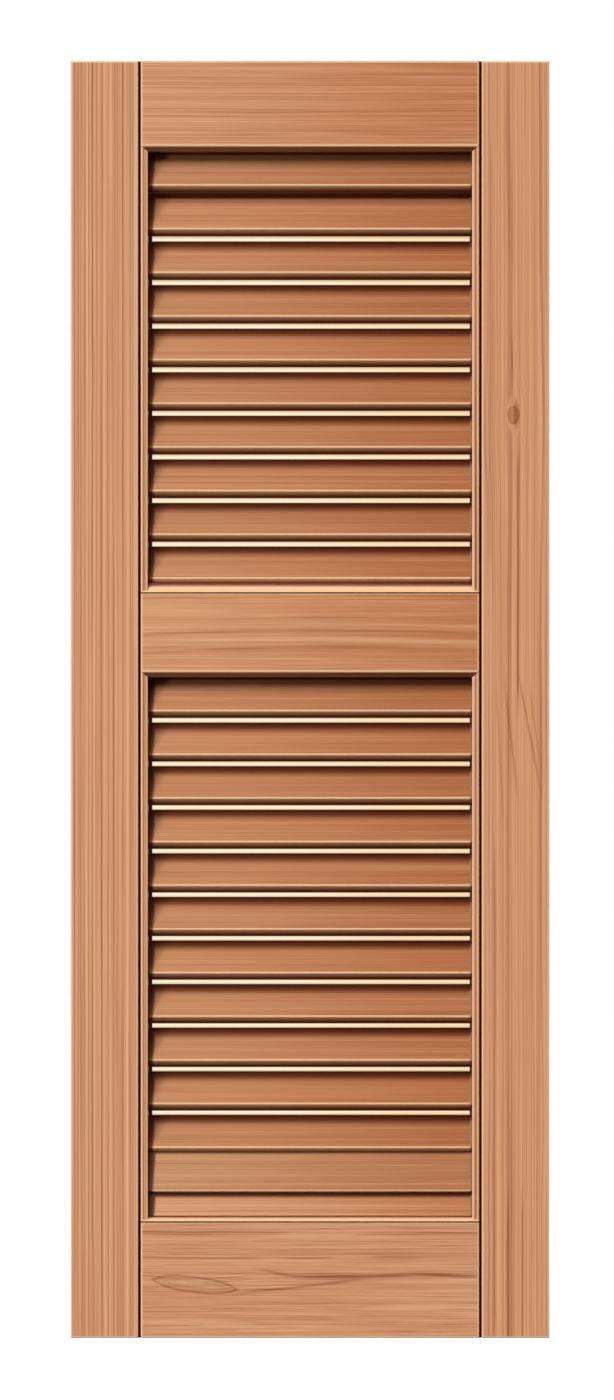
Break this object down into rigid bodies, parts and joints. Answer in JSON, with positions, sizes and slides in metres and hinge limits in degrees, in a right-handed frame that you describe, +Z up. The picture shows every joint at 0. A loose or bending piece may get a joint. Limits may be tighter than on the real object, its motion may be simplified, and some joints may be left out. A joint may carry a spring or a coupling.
{
  "type": "louvred shutter",
  "caption": "Tall wooden window shutter panel: stiles and tenoned rails frame upper and lower fields of fixed sloping slats that let air and light through.",
  "frame": {"origin": "middle of the foot, halfway through the thickness", "axes": "+Z up, front face looks to -Y, +X to the right seen from the front"},
  "size_m": [0.457, 0.038, 1.219],
  "materials": {
    "stile_wood": "oiled cedar, straight upright grain",
    "rail_wood": "oiled cedar, level grain",
    "strip_wood": "oiled cedar, fine upright grain",
    "slat_wood": "oiled cedar, level grain"
  },
  "bodies": {
    "root": {"left_stile": "stile_wood", "right_stile": "stile_wood", "top_rail": "rail_wood", "mid_rail": "rail_wood", "bottom_rail": "rail_wood", "upper_left_strip": "strip_wood", "upper_right_strip": "strip_wood", "lower_left_strip": "strip_wood", "lower_right_strip": "strip_wood", "upper_slat_01": "slat_wood", "upper_slat_02": "slat_wood", "upper_slat_03": "slat_wood", "upper_slat_04": "slat_wood", "upper_slat_05": "slat_wood", "upper_slat_06": "slat_wood", "upper_slat_07": "slat_wood", "upper_slat_08": "slat_wood", "upper_slat_09": "slat_wood", "upper_slat_10": "slat_wood", "lower_slat_01": "slat_wood", "lower_slat_02": "slat_wood", "lower_slat_03": "slat_wood", "lower_slat_04": "slat_wood", "lower_slat_05": "slat_wood", "lower_slat_06": "slat_wood", "lower_slat_07": "slat_wood", "lower_slat_08": "slat_wood", "lower_slat_09": "slat_wood", "lower_slat_10": "slat_wood", "lower_slat_11": "slat_wood", "lower_slat_12": "slat_wood", "lower_slat_13": "slat_wood"}
  },
  "joints": []
}
